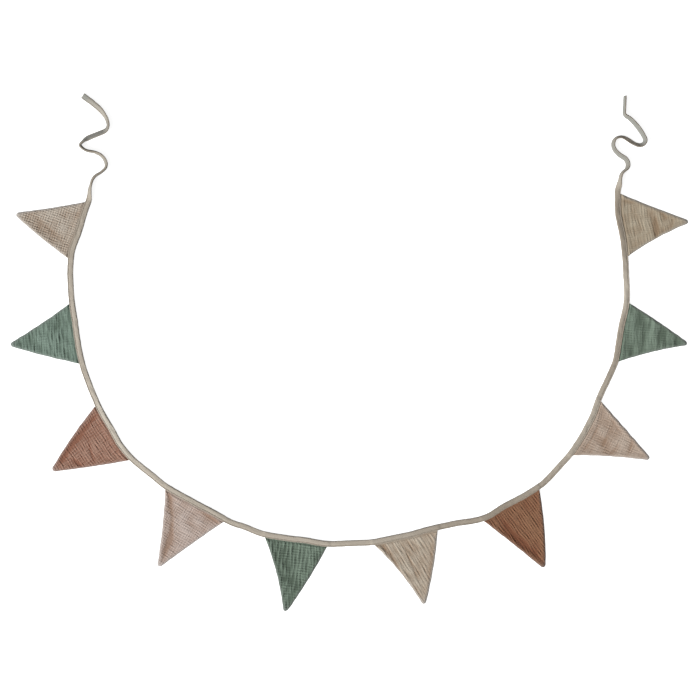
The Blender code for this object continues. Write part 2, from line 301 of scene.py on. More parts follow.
def tape_points(distance, across, height):
    """Where points of the tape lie, given along it, across it from its middle, and above that before it is
    turned over. However it is turned, its lowest edge or face is on the surface."""
    centre, heading, twist = route.at(distance)
    half_thickness = route.gap(distance) / 2 + TAPE_PLY
    lift = np.abs(np.sin(twist)) * TAPE_WIDTH / 2 + np.abs(np.cos(twist)) * half_thickness
    out = across * np.cos(twist) - height * np.sin(twist)
    up = across * np.sin(twist) + height * np.cos(twist)
    x = centre[..., 0] + np.sin(heading) * out
    y = centre[..., 1] - np.cos(heading) * out
    return np.stack([x, y, lift + up], -1)


def stray(distance):
    """How far the tape's edges and its stitching stray sideways from a true line, where it lies flat."""
    waves = wander(distance, 0, WAVER_GAP, 3) + SMALL_WAVER * wander(distance, 0, SMALL_WAVER_GAP, 4)
    return TAPE_WAVER * np.cos(route.at(distance)[2]) * waves


def tie_share(distance):
    """0 where the tape holds the flags or runs between them, and 1 on its ties."""
    first, last = route.flags[0][0], route.flags[-1][1]
    return ease(np.maximum(first - distance, distance - last) / TIE_CHANGE)


def tie_puff(distance, across):
    """How far each ply of a tie stands out where it is on edge."""
    from_fold = np.clip((across + TAPE_WIDTH / 2) / TAPE_WIDTH, 0, 1)
    on_edge = np.sin(route.at(distance)[2]) ** 2
    return TIE_PUFF * tie_share(distance) * on_edge * np.sin(pi * from_fold**TIE_PUFF_LEAN)


def upper_face(distance, across):
    """The height of the tape's upper face, full from its fold to its stitching and drawn in along that."""
    from_fold = across + TAPE_WIDTH / 2
    from_seam = TAPE_WIDTH / 2 - SEAM_INSET - across
    puff = TAPE_PUFF * np.sin(pi * np.clip(from_fold / (TAPE_WIDTH - SEAM_INSET), 0, 1) ** PUFF_LEAN)
    puff = puff * (1 + TAPE_LIMP * wander(distance, 0, LIMP_GAP, 5))
    groove = SEAM_DEPTH * np.exp(-((from_seam / SEAM_SPREAD) ** 2))
    strayed = distance + PUCKER_STRAY * wander(distance, 0, PUCKER_STRAY_GAP, 1)
    pucker = PUCKER_DEPTH * np.cos(2 * pi * strayed / PUCKER_LENGTH)
    pucker = pucker * np.exp(-((from_seam / PUCKER_WIDTH) ** 2))
    dents = wander(distance / DENT_STRETCH, across, DENT_GAP, 2)
    uneven = TAPE_UNEVEN * dents * ease(from_fold / DENT_START)
    return route.gap(distance) / 2 + TAPE_PLY + puff - groove + pucker + uneven + tie_puff(distance, across)


def make_piece(name, points, faces, finish, maps, shades=()):
    """Makes one smooth mesh, with its UV maps and its shade values, and has it ride on the body."""
    mesh = bpy.data.meshes.new(name)
    mesh.from_pydata((np.asarray(points) * MM).tolist(), [], faces)
    for map_name, places in maps.items():
        mesh.uv_layers.new(name=map_name).data.foreach_set("uv", np.asarray(places, np.float32).ravel())
    for shade_name, values in dict(shades).items():
        mesh.attributes.new(shade_name, "FLOAT", "POINT").data.foreach_set("value", values.astype(np.float32))
    mesh.materials.append(finish.material)
    mesh.shade_smooth()
    mesh.update()
    piece = bpy.data.objects.new(name, mesh)
    bpy.context.scene.collection.objects.link(piece)
    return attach(piece, "root")


class Reading:
    """A value that varies over a surface. Sums on it add Math nodes to its finish."""

    def __init__(self, finish, socket):
        self.finish = finish
        self.socket = socket

    def math(self, operation, *values):
        node = self.finish.node("ShaderNodeMath", {"operation": operation}, dict(enumerate(values)))
        return Reading(self.finish, node.outputs[0])

    def __add__(self, other):
        return self.math("ADD", self, other)

    def __radd__(self, other):
        return self.math("ADD", other, self)

    def __sub__(self, other):
        return self.math("SUBTRACT", self, other)

    def __rsub__(self, other):
        return self.math("SUBTRACT", other, self)

    def __mul__(self, other):
        return self.math("MULTIPLY", self, other)

    def wave(self):
        """From 0 between two threads to 1 on a thread's back, once for each unit of this value."""
        return self.math("ABSOLUTE", self.math("SINE", self * pi))


class Finish:
    """A cloth's material, and the nodes that colour and texture it."""

    def __init__(self, name):
        self.material = bpy.data.materials.new(name)
        self.material.use_nodes = True
        self.nodes = self.material.node_tree.nodes
        self.shader = self.nodes["Principled BSDF"]
        self.fill(self.shader, {"Roughness": COTTON_ROUGHNESS, "Sheen Weight": COTTON_SHEEN})

    def node(self, kind, settings, sockets):
        """Adds a node, given its type, its settings and its sockets' values or links."""
        node = self.nodes.new(kind)
        for setting, value in settings.items():
            setattr(node, setting, value)
        self.fill(node, sockets)
        return node

    def fill(self, node, sockets):
        """Gives a node's sockets their values or their links."""
        for name, value in sockets.items():
            if isinstance(value, Reading):
                value = value.socket
            if isinstance(value, bpy.types.NodeSocket):
                self.material.node_tree.links.new(value, node.inputs[name])
            else:
                node.inputs[name].default_value = value

    def read(self, name):
        """The shade value of this name that the mesh carries."""
        node = self.node("ShaderNodeAttribute", {"attribute_name": name}, {})
        return Reading(self, node.outputs["Fac"])

    def place(self, map_name, scale, turn=0.0):
        """The cloth's own two directions, in units of this many mm, and turned by this angle."""
        where = self.node("ShaderNodeUVMap", {"uv_map": map_name}, {}).outputs["UV"]
        turned = self.node(
            "ShaderNodeVectorRotate", {"rotation_type": "Z_AXIS"}, {"Vector": where, "Angle": radians(turn)}
        )
        scaled = self.node(
            "ShaderNodeVectorMath", {"operation": "SCALE"}, {0: turned.outputs[0], "Scale": 1 / scale}
        )
        return scaled.outputs[0]

    def noise(self, place, scale, detail=2.0):
        """Soft unevenness from 0 to 1."""
        node = self.node("ShaderNodeTexNoise", {}, {"Vector": place, "Scale": scale, "Detail": detail})
        return Reading(self, node.outputs["Fac"])

    def mix(self, share, first, last):
        """A colour this share of the way from the first to the last."""
        mixer = self.node("ShaderNodeMix", {"data_type": "RGBA"}, {0: share.socket})
        for socket, colour in ((mixer.inputs[6], first), (mixer.inputs[7], last)):
            if isinstance(colour, bpy.types.NodeSocket):
                self.material.node_tree.links.new(colour, socket)
            else:
                socket.default_value = (*colour, 1.0)
        return mixer.outputs[2]

    def weave(self, map_name, thread, turn, depth):
        """A plain weave in the surface: threads that pass over and under each other, this many mm apart."""
        place = self.place(map_name, thread, turn)
        slub = self.noise(place, SLUB_SCALE) * SLUB_SHIFT
        split = self.node("ShaderNodeSeparateXYZ", {}, {0: place})
        warp_place = Reading(self, split.outputs[0]) + slub
        weft_place = Reading(self, split.outputs[1]) + slub
        over = warp_place.math("SINE", warp_place * pi) * weft_place.math("SINE", weft_place * pi)
        warp = warp_place.wave() * (THREAD_RISE + over * THREAD_CROSSING)
        weft = weft_place.wave() * (THREAD_RISE - over * THREAD_CROSSING)
        bump = self.node(
            "ShaderNodeBump",
            {},
            {"Height": warp.math("MAXIMUM", warp, weft), "Strength": 1.0, "Distance": depth * MM},
        )
        self.fill(self.shader, {"Normal": bump.outputs[0]})


def cotton(name, colour, shade, grey_shade_and_sheen, map_name, thread, turn, depth):
    """A cotton cloth of this colour, darker with painted shade in its creases and seams, greyer with painted
    shade on the ties and painted sheen on the flags' rims, and with a little unevenness in its dye and
    threads."""
    finish = Finish(name)
    # Painted shade, which takes the cloth toward its shade colour
    painted_shade = finish.read("painted_shade")
    patches = finish.noise(finish.place(map_name, DYE_PATCH_GAP), 1.0)
    streaks = finish.noise(finish.place(map_name, THREAD_STREAK_GAP), 1.0, 1.0)
    dark = painted_shade * PAINTED_SHADE_DEPTH + patches * DYE_PATCHES + streaks * THREAD_STREAKS - DYE_LIGHTENS
    dark = dark.math("MAXIMUM", dark, 0.0)
    dark = dark.math("MINIMUM", dark, 1.0)
    # Painted grey shade on the ties and painted sheen on the flags' rims, which take the cloth toward a
    # greyer colour
    grey_shade_and_sheen_share = finish.read("grey_shade_and_sheen")
    dyed_and_shaded = finish.mix(dark, colour, shade)
    finish.fill(finish.shader, {"Base Color": finish.mix(grey_shade_and_sheen_share, dyed_and_shaded, grey_shade_and_sheen)})
    finish.weave(map_name, thread, turn, depth)
    return finish


route = Route()
tape_length = route.ends[-1]


def tape_profile(gap):
    """The folded strip's outline, all round, as places across it and their heights before it puffs up, with
    1 where a point is on the upper face or on the lower one. gap is one value for each section."""
    nose, radius = TAPE_PLY / 2, (gap + TAPE_PLY) / 2
    outer, inner = radius + nose, radius - nose
    edge = TAPE_WIDTH / 2
    points = []

    def add(across, height, upper=0.0, lower=0.0):
        points.append([value + 0 * gap for value in (across, height, upper, lower)])

    for turn in np.radians((-60, 0, 60)):
        add(edge - nose + nose * cos(turn), radius + nose * sin(turn))
    for inset in (0.9, 1.4, 1.9, 2.4, 2.9, 3.5, 4.5, 5.8, 7.2, 8.6, 9.6, 10.3):
        add(edge - inset, outer, 1.0)
    for turn in np.radians((100, 140, 180, 220, 260)):
        add(-edge + outer + outer * cos(turn), outer * sin(turn))
    for inset in np.linspace(9.8, 0.9, 5):
        add(edge - inset, -outer, lower=1.0)
    for turn in np.radians((-60, 0, 60)):
        add(edge - nose + nose * cos(turn), -radius + nose * sin(turn))
    for inset in (2.0, 6.0, 9.8):
        add(edge - inset, -inner)
    add(-edge + outer - inner * 0.8, 0.0)
    for inset in (9.8, 6.0, 2.0):
        add(edge - inset, inner)
    return [np.stack(column, 1) for column in zip(*points)]


sections = np.linspace(0, tape_length, round(tape_length / TAPE_STEP) + 1)
tape_gap = route.gap(sections)
across, height, upper, lower = tape_profile(tape_gap)
corners = across.shape[1]
distance = np.repeat(sections[:, None], corners, 1)
risen = upper_face(distance, across)
height = np.where(upper > 0, risen, height)
height = np.where(lower > 0, height - tie_puff(distance, across), height)
tape_corners = tape_points(distance, across + stray(distance), height)
on_tie = tie_share(distance)
# Painted shade on the tape: in the stitching's groove, along both edges and more on the ties, and along its
# length, with less on the ply that faces down
facing_down = lower * np.clip(UNDERSIDE_TURN * np.cos(route.at(distance)[2]), 0, 1)
shade_level = np.interp(distance, *np.array(TAPE_PAINTED_SHADE, float).T) * (1 - UNDERSIDE_PALER * facing_down)
by_edge = np.exp(-(((TAPE_WIDTH / 2 - np.abs(across)) / EDGE_SHADE_WIDTH) ** 2))
painted_shade = SEAM_SHADE * np.exp(-(((TAPE_WIDTH / 2 - SEAM_INSET - across) / SEAM_SPREAD) ** 2)) * upper
painted_shade = np.clip(painted_shade + (EDGE_SHADE + TIE_EDGE_SHADE * on_tie) * by_edge + shade_level, 0, 1)
# Painted grey shade on the ties, away from their edges
grey_shade_and_sheen = TIE_SHADE_GREYING * on_tie * np.clip(shade_level, 0, 1) * (1 - by_edge)

skin = []
for row in range(len(sections) - 1):
    for column in range(corners):
        after = (column + 1) % corners
        a, b = row * corners + column, row * corners + after
        skin.append((a, b, b + corners, a + corners))
first_ring = list(range(corners))
last_ring = [(len(sections) - 1) * corners + column for column in range(corners)]
caps = [first_ring[::-1], last_ring]

end_outline = np.stack([across[0], height[0]], 1)
steps = np.linalg.norm(np.diff(end_outline, axis=0, append=end_outline[:1]), axis=1)
round_it = np.concatenate([[0], np.cumsum(steps)])
cloth_places = []
for row in range(len(sections) - 1):
    for column in range(corners):
        low, high = round_it[column], round_it[column + 1]
        near, far = sections[row], sections[row + 1]
        cloth_places += [(near, low), (near, high), (far, high), (far, low)]
for ring in caps:
    cloth_places += [tuple(end_outline[corner % corners]) for corner in ring]

tape_cloth = cotton(
    "tape_cotton", TAPE_COLOUR, TAPE_SHADE, TAPE_SHADE_GREY, "cloth", TAPE_THREAD, TAPE_BIAS, TAPE_WEAVE
)
tape = make_piece(
    "folded_tape",
    tape_corners.reshape(-1, 3),
    skin + caps,
    tape_cloth,
    {"cloth": cloth_places},
    {"painted_shade": painted_shade.ravel(), "grey_shade_and_sheen": grey_shade_and_sheen.ravel()},
)
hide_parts("tape")

# Stitching: one row of lockstitch near the tape's open edge closes it and catches each flag's top. Each
# stitch is a short length of thread that sinks into the cloth at both ends, above and below.
STITCH_LENGTH = 2.9
STITCH_GAP = 0.5
THREAD_WIDTH = 0.34
THREAD_SIDES = 5
THREAD_ROUGHNESS = 0.7
THREAD_COLOUR = (0.47, 0.43, 0.37)


def stitch_row(above):
    """The rings of every stitch on one face of the tape, in order along it."""
    starts = np.arange(STITCH_LENGTH / 2, tape_length - STITCH_LENGTH, STITCH_LENGTH)
    share = np.array([0.0, 0.3, 0.7, 1.0])
    sunk = np.array([-0.7, 0.3, 0.3, -0.7]) * THREAD_WIDTH / 2
    thick = np.array([0.5, 1.0, 1.0, 0.5]) * THREAD_WIDTH / 2
    turn = 2 * pi * np.arange(THREAD_SIDES) / THREAD_SIDES
    along = starts[:, None, None] + share[None, :, None] * (STITCH_LENGTH - STITCH_GAP) + 0 * turn
    seam = TAPE_WIDTH / 2 - SEAM_INSET + 0 * along
    if above:
        face = upper_face(along, seam) + sunk[None, :, None]
    else:
        face = -route.gap(along) / 2 - TAPE_PLY - tie_puff(along, seam) - sunk[None, :, None]
    side = seam + stray(along) + np.cos(turn) * thick[None, :, None]
    return tape_points(along, side, face + np.sin(turn) * thick[None, :, None])


rings = np.concatenate([stitch_row(True), stitch_row(False)])
stitches, ring_count = rings.shape[:2]
thread_faces = []
for stitch in range(stitches):
    first = stitch * ring_count * THREAD_SIDES
    for ring in range(ring_count - 1):
        for side in range(THREAD_SIDES):
            a = first + ring * THREAD_SIDES + side
            b = first + ring * THREAD_SIDES + (side + 1) % THREAD_SIDES
            thread_faces.append((a, b, b + THREAD_SIDES, a + THREAD_SIDES))
    last = first + (ring_count - 1) * THREAD_SIDES
    thread_faces.append(tuple(range(first + THREAD_SIDES - 1, first - 1, -1)))
    thread_faces.append(tuple(range(last, last + THREAD_SIDES)))
thread = Finish("sewing_thread")
thread.fill(thread.shader, {"Base Color": (*THREAD_COLOUR, 1.0), "Roughness": THREAD_ROUGHNESS})
stitching = make_piece("tape_stitching", rings.reshape(-1, 3), thread_faces, thread, {})

# Flags: each is two layers of crinkled cotton muslin, sewn face to face down both sides, turned, and
# pressed flat along its top, which the tape holds. The turned seams keep its edges full and round, and
# the muslin between them puckers along its own threads.
HELD_DEPTH = 8
EDGE_HEIGHT = 0.75  # of the seam line above the surface
MIDDLE_THICKNESS = 2.2
THINNEST = 0.9  # down in the deepest crinkles
THINNEST_SHARPNESS = 3  # how sharply the crinkles level out at that
BACK_CLEAR = 0.3  # how far the back lies off the surface where it is smooth
BACK_CRINKLE = 0.5  # the share of the crinkle that shows on the back
BACK_LIFT = 0.6  # the most that the back's crinkles lift it off the surface
SEAM_ALLOWANCE_RISE = 1.4
SEAM_ALLOWANCE_WIDTH = 9
UPPER_ROUNDING = 7.5
ROLLED_EDGE = 0.9
ROLLED_SHARE = 0.2  # of the edge's height that its tight roll takes, before its soft shoulder
LOWER_ROUNDING = 1.6
HELD_ROUNDING = 0.6  # of both faces' edges where the tape holds them
TIP_WIDTH = 7.5
TIP_ROUNDING = 3.5
TIP_BLUNTNESS = 0.88  # 1 is a full round, and less leaves the end squarer
SIDE_WAVER = 0.18  # how far the sides stray from their curves
SIDE_WAVER_GAP = 20
DROP_LENGTH = 14
JUST_OUT = 0.6
FILL_OUT = 4.0  # from the tape to the flag's full thickness
CRINKLE_START = 3.5  # from the tape or a seam to the full crinkle
FLAG_STEP = 0.75
EDGE_STEPS = (0.0, 0.22, 0.55, 1.0, 1.6)
TIP_STEPS = (0.25, 0.5, 0.7, 0.85, 0.95, 1.0)
MUSLIN_THREAD = 0.85
MUSLIN_WEAVE = 0.12

# Main folds: flag number, the fold's middle (mm along the tape from the flag's middle, mm out from the
# tape), its aim in degrees from the tape, and its length, width and rise
Fold = namedtuple("Fold", "flag along out aim length width rise")

FOLDS = (
    Fold(1, 16, 72, -70, 40, 11, -0.6),
    Fold(1, 30, 40, -64, 46, 12, -0.5),
    Fold(1, -14, 56, -72, 60, 14, 0.5),
    Fold(2, -22, 28, 3, 44, 10, -0.6),
    Fold(2, 6, 62, -4, 60, 13, 0.5),
    Fold(2, 4, 91, -11, 30, 11, -0.5),
    Fold(3, -30, 66, -86, 46, 11, -0.7),
    Fold(3, 8, 50, -84, 60, 14, 0.5),
    Fold(3, -15, 108, 82, 24, 9, -0.5),
    Fold(4, -44, 22, 60, 40, 10, -0.6),
    Fold(4, -10, 96, 72, 40, 11, -0.5),
    Fold(4, 38, 10, 5, 50, 9, -0.4),
    Fold(4, 4, 52, 40, 60, 15, 0.5),
    Fold(5, 2, 84, 38, 46, 11, -0.7),
    Fold(5, -37, 38, 76, 46, 10, -0.5),
    Fold(5, 18, 50, 86, 60, 13, 0.5),
    Fold(6, -18, 50, 68, 90, 12, 0.6),
    Fold(6, 12, 57, 78, 90, 12, -0.5),
    Fold(6, -38, 26, 62, 44, 10, -0.5),
    Fold(7, -36, 48, 72, 50, 10, -0.7),
    Fold(7, -26, 86, 66, 42, 10, -0.6),
    Fold(7, 12, 58, 80, 90, 14, 0.6),
    Fold(8, -3, 44, 162, 56, 12, -0.5),
    Fold(8, 4, 78, 158, 40, 12, 0.5),
    Fold(9, 8, 63, 171, 60, 11, 0.7),
    Fold(9, 18, 36, 164, 44, 11, -0.6),
    Fold(9, 10, 82, 165, 42, 11, -0.6),
    Fold(10, -16, 71, 163, 34, 11, -0.6),
    Fold(10, -9, 40, 174, 60, 13, 0.5),
)

# Creases finer than those folds, given in the same way; each also paints shade into the cloth's colour
CREASES = (
    Fold(1, 18, 47, -67, 100, 4, -0.26),
    Fold(1, 11, 58, -66, 30, 4, -0.15),
    Fold(1, 1, 86, -72, 26, 5, -0.24),
    Fold(1, -20, 32, 90, 30, 3, -0.3),
    Fold(1, -14, 87, 60, 18, 4, -0.3),
    Fold(2, -46, 3, 3, 34, 4, -0.58),
    Fold(2, -32, 26, 6, 28, 4, -0.58),
    Fold(2, -17, 39, 42, 26, 4, -0.38),
    Fold(2, 34, 23, -50, 28, 5, -0.32),
    Fold(2, 16, 53, -10, 30, 3.5, -0.32),
    Fold(2, -19, 63, 28, 26, 4, -0.32),
    Fold(2, -4, 95, 14, 28, 4, -0.38),
    Fold(2, 0, 115, 0, 16, 5, -0.44),
    Fold(2, 14, 41, 0, 46, 5, 0.32),
    Fold(2, 0, 76, -6, 34, 4, 0.26),
    Fold(3, -45, 20, 74, 50, 4, -1.16),
    Fold(3, -28, 70, 71, 64, 4.5, -1.74),
    Fold(3, -11, 111, 64, 34, 4.5, -1.36),
    Fold(3, 11, 56, 17, 46, 3, -1.16),
    Fold(3, 14, 94, -22, 30, 4, -1.74),
    Fold(4, -56, 8, 40, 26, 4, -0.96),
    Fold(4, -35, 35, 52, 44, 4, -0.6),
    Fold(4, -18, 66, 62, 46, 4.5, -0.96),
    Fold(4, -9, 99, 77, 56, 5, -1.32),
    Fold(4, 43, 5, 4, 44, 4, -1.08),
    Fold(4, 10, 38, -2, 36, 4, -0.36),
    Fold(5, -36, 14, 52, 40, 5, -0.78),
    Fold(5, -14, 51, 50, 44, 7, -1.04),
    Fold(5, -10, 78, -14, 22, 4, -0.78),
    Fold(5, 15, 95, -60, 26, 4, -0.78),
    Fold(5, 5, 123, 86, 24, 4, -0.78),
    Fold(5, 50, 26, -60, 34, 4, -0.78),
    Fold(5, -14, 24, 82, 34, 4, -0.52),
    Fold(5, 1, 20, 88, 40, 3, -0.39),
    Fold(5, 34, 26, 62, 36, 6, 0.65),
    Fold(6, -30, 60, 71, 140, 3, -0.8),
    Fold(6, -19, 48, 75, 110, 2.5, -0.57),
    Fold(6, -3, 45, 79, 90, 2.5, -0.57),
    Fold(6, 37, 75, -73, 110, 5, -0.69),
    Fold(6, 14, 62, 84, 80, 7, 0.46),
    Fold(7, -29, 41, 84, 54, 4, -1.19),
    Fold(7, -17, 81, 72, 54, 5, -1.34),
    Fold(7, -7, 116, 80, 26, 4, -0.89),
    Fold(7, 22, 58, 76, 70, 8, 0.59),
    Fold(8, -15, 14, 0, 90, 3, -0.52),
    Fold(8, -6, 42, 0, 64, 4, -0.52),
    Fold(8, -16, 70, 6, 44, 5, -0.65),
    Fold(8, 5, 98, -8, 40, 4, -0.52),
    Fold(8, 34, 47, -64, 44, 3, -0.52),
    Fold(9, -38, 21, 2, 34, 5, -0.97),
    Fold(9, -16, 44, 0, 62, 4.5, -0.69),
    Fold(9, 42, 28, -12, 34, 5, -1.39),
    Fold(9, 16, 78, 8, 54, 7, -1.24),
    Fold(9, 4, 113, -14, 28, 6, -1.67),
    Fold(9, 12, 61, 0, 56, 7, 1.53),
    Fold(9, 30, 14, 0, 36, 5, 1.11),
    Fold(10, 10, 1, 0, 64, 3, -0.6),
    Fold(10, 48, 15, -70, 26, 4, -0.72),
    Fold(10, -7, 32, 10, 44, 7, -0.48),
    Fold(10, -22, 64, 0, 28, 5, -1.08),
    Fold(10, -6, 67, 2, 44, 5, -0.72),
    Fold(10, 15, 82, -42, 26, 4, -0.72),
    Fold(10, -8, 100, 20, 22, 4, -0.6),
)

# The colour each kind of cloth takes in full painted shade, as a share of its own, in red, green and blue
BEIGE_SHADE = (0.58, 0.44, 0.34)
RED_SHADE = (0.64, 0.42, 0.32)
GREEN_SHADE = (0.41, 0.44, 0.40)

# Muslin of each colour: its colour, and how it crinkles. Ribs run at an aim from the tape, a pitch apart,
# cross ribs run over them, and loose wrinkles run along them, each to a depth. Stray is how far ribs waver.
# ROUND ribs are broad with narrow grooves, and SHARP ribs are narrow with broad hollows.
ROUND = 1
SHARP = -1

Muslin = namedtuple(
    "Muslin", "colour deepens backs aim pitch ribs cross_pitch cross stray wrinkle_gap wrinkles"
)

MUSLINS = {
    "oatmeal": Muslin((0.483, 0.424, 0.354), BEIGE_SHADE, ROUND, 2, 5.2, 0.78, 5, 0.86, 0.5, 9, 0.1),
    "sage": Muslin((0.199, 0.273, 0.223), GREEN_SHADE, SHARP, 4, 8, 0.47, 6, 0.17, 1.2, 6, 0.32),
    "terracotta": Muslin((0.369, 0.216, 0.157), RED_SHADE, ROUND, -2, 5.6, 0.9, 6.2, 1.3, 0.6, 9, 0.14),
    "blush": Muslin((0.525, 0.434, 0.385), BEIGE_SHADE, ROUND, 3, 5, 0.5, 5, 0.58, 0.3, 9, 0.1),
    "fern": Muslin((0.164, 0.218, 0.168), GREEN_SHADE, SHARP, 88, 8, 0.9, 5.6, 0.64, 0.6, 6, 0.4),
    "sand": Muslin((0.466, 0.401, 0.319), BEIGE_SHADE, ROUND, 72, 7.4, 0.57, 6, 0.1, 0.5, 6, 0.17),
    "brick": Muslin((0.250, 0.121, 0.062), RED_SHADE, ROUND, 84, 5.2, 0.9, 5.2, 0.85, 0.7, 8, 0.14),
    "biscuit": Muslin((0.473, 0.384, 0.313), BEIGE_SHADE, ROUND, -4, 5, 0.31, 5, 0.28, 0.3, 9, 0.06),
    "lichen": Muslin((0.175, 0.229, 0.177), GREEN_SHADE, ROUND, -6, 6, 0.33, 5, 0.25, 0.8, 11, 0.25),
    "wheat": Muslin((0.409, 0.351, 0.261), BEIGE_SHADE, SHARP, -4, 5.2, 0.27, 4.8, 0.23, 0.35, 7, 0.1),
}
SLUBS = 0.1  # how far thicker threads stand out
SLUB_GAP = 4.4
SLUB_STRETCH = 6
RIB_STRAY_GAP = 42
RIB_STRENGTH = 0.9  # how strong the ribs are on average, how far that varies, and its limits
RIB_SWING = 0.5
RIB_LIMITS = (0.1, 1.9)
RIB_PATCH = 13
RIB_PATCH_STRETCH = 1.6
WRINKLE_STRETCH = 7  # how many times longer than wide the loose wrinkles are
UNEVEN = 0.14  # how far a flag's top rises and sinks between its main folds
UNEVEN_GAP = 30
FOLD_SHADE = 0.65  # how much painted shade a fold 1 mm deep puts on the cloth
CREASE_SHADE = 0.8  # and a crease 1 mm deep
PUCKER_SHADE = 0.43  # and a pucker 1 mm deep
PUCKER_TONE = 0.33  # the painted shade on cloth without a pucker, which a pucker's back lightens
RIM_SHEEN_AND_FUZZ = 0.55  # painted sheen and fuzz: how far a flag's rims turn paler and greyer
RIM_SHEEN_WIDTH = 4.0
# The same painted sheen and fuzz at the tip
TIP_SHEEN_AND_FUZZ = 0.5
TIP_SHEEN_LENGTH = 9.0
SHEEN_GREY = 0.75  # how far that painted sheen and fuzz turns the colour grey
# How much lighter than the colour's own grey the painted sheen and fuzz is
PALE = 1.06


def pillow(turns):
    """Puckers with narrow creases between round backs, once for each unit, 0 on average."""
    return np.abs(np.sin(pi * turns)) - 2 / pi


def crinkle(muslin, u, v, seed):
    """How far the muslin's puckers stand over or under its main folds."""
    aim = radians(muslin.aim)
    along = u * cos(aim) + v * sin(aim)
    over = v * cos(aim) - u * sin(aim)
    ribs = pillow((over + muslin.stray * wander(along, over, RIB_STRAY_GAP, seed)) / muslin.pitch)
    cross_stray = muslin.stray * wander(along, over, RIB_STRAY_GAP, seed + 1)
    cross = pillow((along + cross_stray) / muslin.cross_pitch)
    wrinkles = wander(along / WRINKLE_STRETCH, over, muslin.wrinkle_gap, seed + 2)
    patches = wander(along / RIB_PATCH_STRETCH, over, RIB_PATCH, seed + 3)
    strength = np.clip(RIB_STRENGTH + RIB_SWING * patches, *RIB_LIMITS)
    patches = wander(along, over / RIB_PATCH_STRETCH, RIB_PATCH, seed + 4)
    cross_strength = np.clip(RIB_STRENGTH + RIB_SWING * patches, *RIB_LIMITS)
    relief = muslin.backs * (strength * muslin.ribs * ribs + cross_strength * muslin.cross * cross)
    slubs = wander(along / SLUB_STRETCH, over, SLUB_GAP, seed + 5)
    slubs = slubs + wander(along, over / SLUB_STRETCH, SLUB_GAP, seed + 6)
    return relief + muslin.wrinkles * wrinkles + SLUBS * slubs


def fold_rise(folds, number, u, v):
    """How far these folds raise or sink a flag's top."""
    rise = 0.0
    for fold in folds:
        if fold.flag == number:
            aim = radians(fold.aim)
            with_fold = (u - fold.along) * cos(aim) + (v - fold.out) * sin(aim)
            over_fold = (v - fold.out) * cos(aim) - (u - fold.along) * sin(aim)
            fall_off = -((over_fold / fold.width) ** 2) - (with_fold / (fold.length / 2)) ** 2
            rise = rise + fold.rise * np.exp(fall_off)
    return rise


def lace(first, first_count, second, second_count):
    """Triangles between two rows of points that may differ in count, each given by its first point."""
    faces = []
    i = j = 0
    while i < first_count - 1 or j < second_count - 1:
        next_first = (i + 1) / (first_count - 1) if i < first_count - 1 else 2
        next_second = (j + 1) / (second_count - 1) if j < second_count - 1 else 2
        if next_first <= next_second:
            faces.append((first + i, first + i + 1, second + j))
            i += 1
        else:
            faces.append((first + i, second + j + 1, second + j))
            j += 1
    return faces


def round_off(distance, radius):
    """From 0 at an edge to 1 at this distance from it, along a quarter of an ellipse."""
    return np.sqrt(1 - (1 - np.clip(distance / radius, 0, 1)) ** 2)


